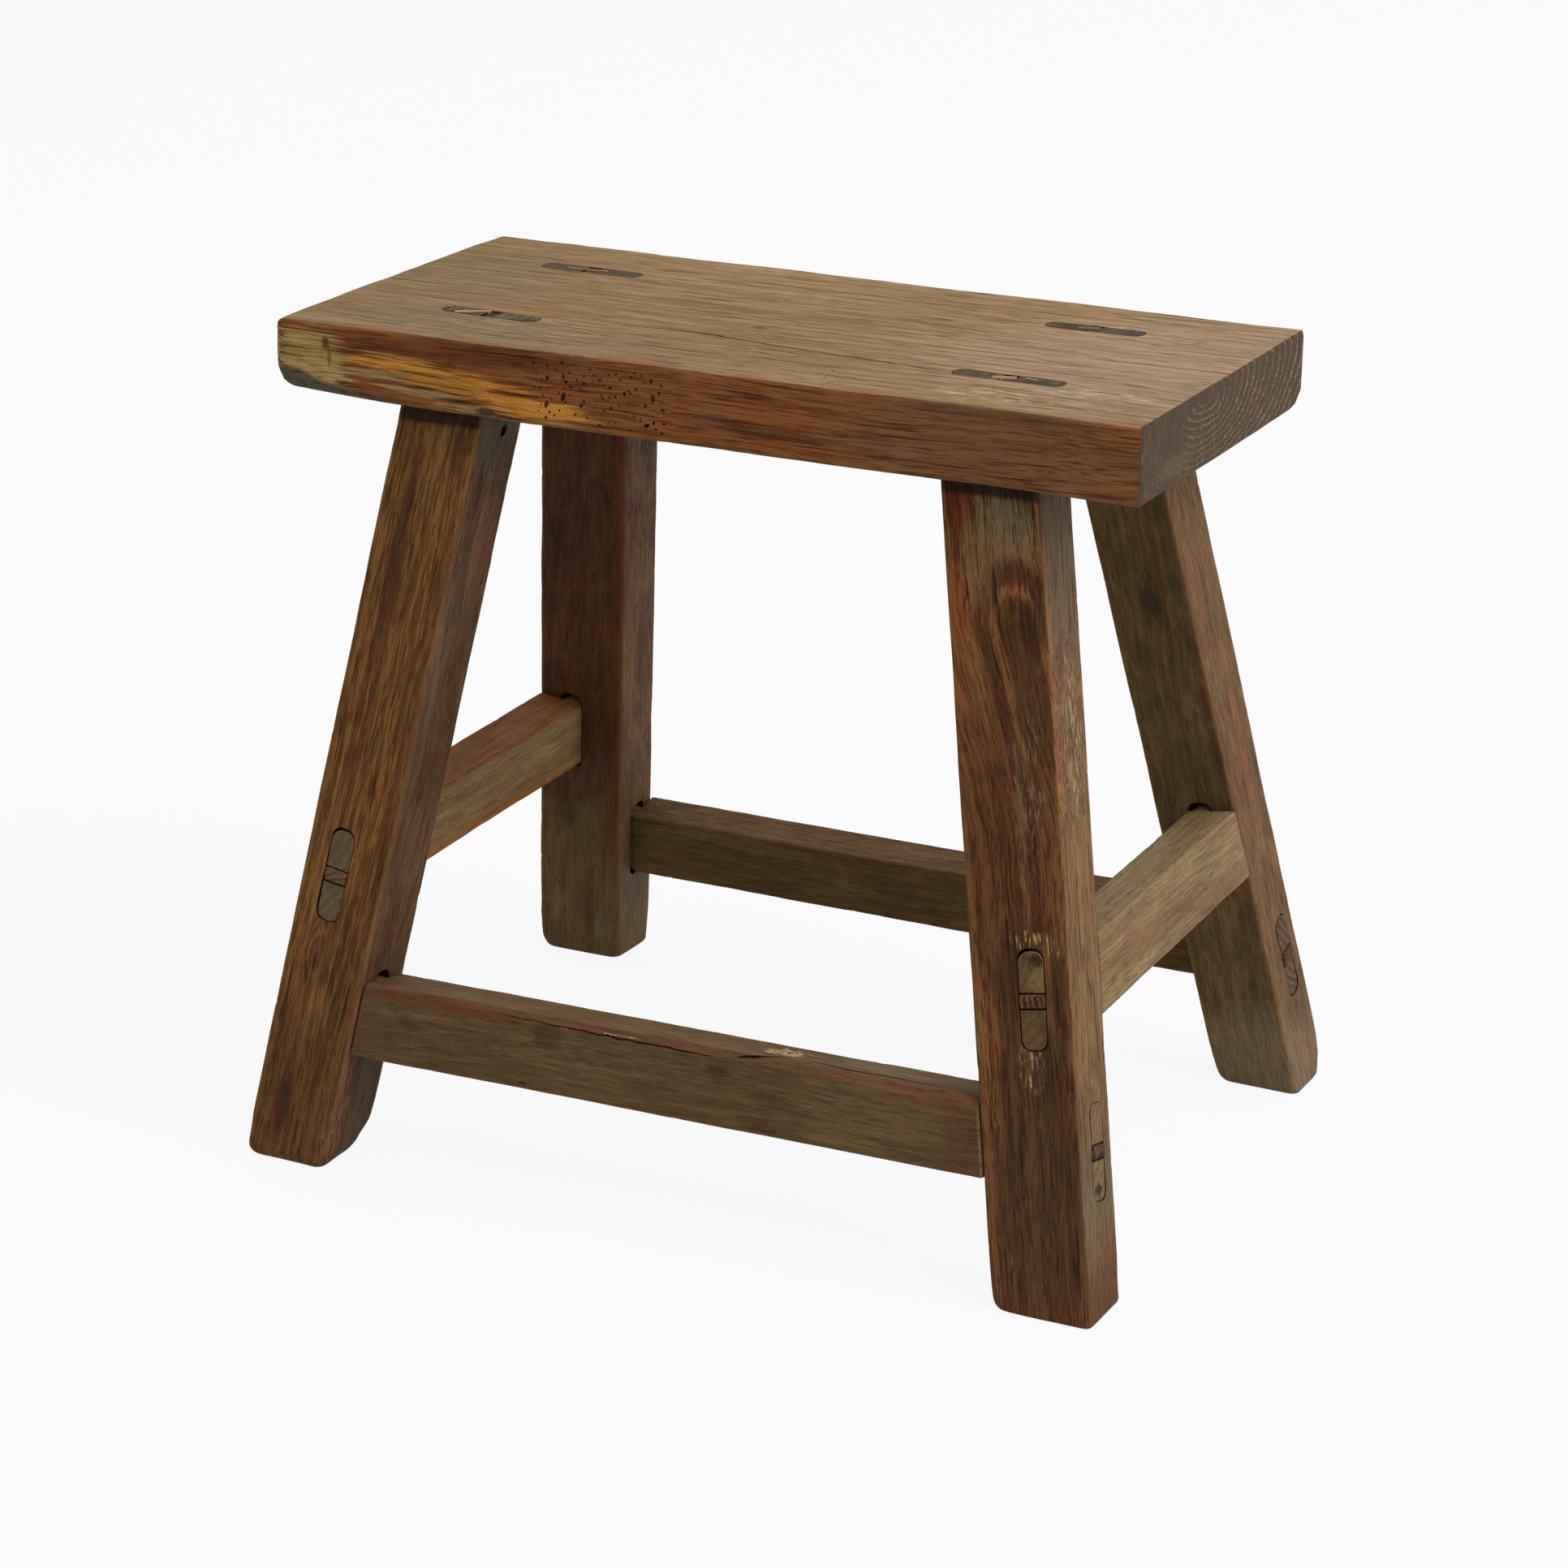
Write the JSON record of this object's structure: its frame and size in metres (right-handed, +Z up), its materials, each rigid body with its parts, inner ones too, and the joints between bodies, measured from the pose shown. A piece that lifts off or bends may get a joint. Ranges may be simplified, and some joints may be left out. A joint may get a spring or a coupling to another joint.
{
  "type": "stool",
  "caption": "Rustic elm stool: a thick plank seat on splayed square legs, tied by stretchers, all joined by wedged through tenons.",
  "frame": {"origin": "middle of the stool's outline on the floor, on the plane that its feet stand on", "axes": "+X along the seat, towards the right as seen from the front; +Y towards the back; +Z up"},
  "size_m": [0.5169, 0.3832, 0.46],
  "materials": {
    "seat": "old oiled elm, worn, with open grain",
    "front_left_leg": "old oiled elm, worn, with open grain",
    "front_right_leg": "old oiled elm, worn, with open grain",
    "back_left_leg": "old oiled elm, worn, with open grain",
    "back_right_leg": "old oiled elm, worn, with open grain",
    "front_stretcher": "old oiled elm, worn, with open grain",
    "back_stretcher": "old oiled elm, worn, with open grain",
    "left_stretcher": "old oiled elm, worn, with open grain",
    "right_stretcher": "old oiled elm, worn, with open grain",
    "wedge": "end grain, dry and dark"
  },
  "bodies": {
    "root": {"seat": "seat", "front_left_leg": "front_left_leg", "front_right_leg": "front_right_leg", "back_left_leg": "back_left_leg", "back_right_leg": "back_right_leg", "front_stretcher": "front_stretcher", "back_stretcher": "back_stretcher", "left_stretcher": "left_stretcher", "right_stretcher": "right_stretcher", "front_left_leg_wedge": "wedge", "front_right_leg_wedge": "wedge", "back_left_leg_wedge": "wedge", "back_right_leg_wedge": "wedge", "front_stretcher_left_wedge": "wedge", "front_stretcher_right_wedge": "wedge", "back_stretcher_left_wedge": "wedge", "back_stretcher_right_wedge": "wedge", "left_stretcher_front_wedge": "wedge", "left_stretcher_back_wedge": "wedge", "right_stretcher_front_wedge": "wedge", "right_stretcher_back_wedge": "wedge"}
  },
  "joints": []
}
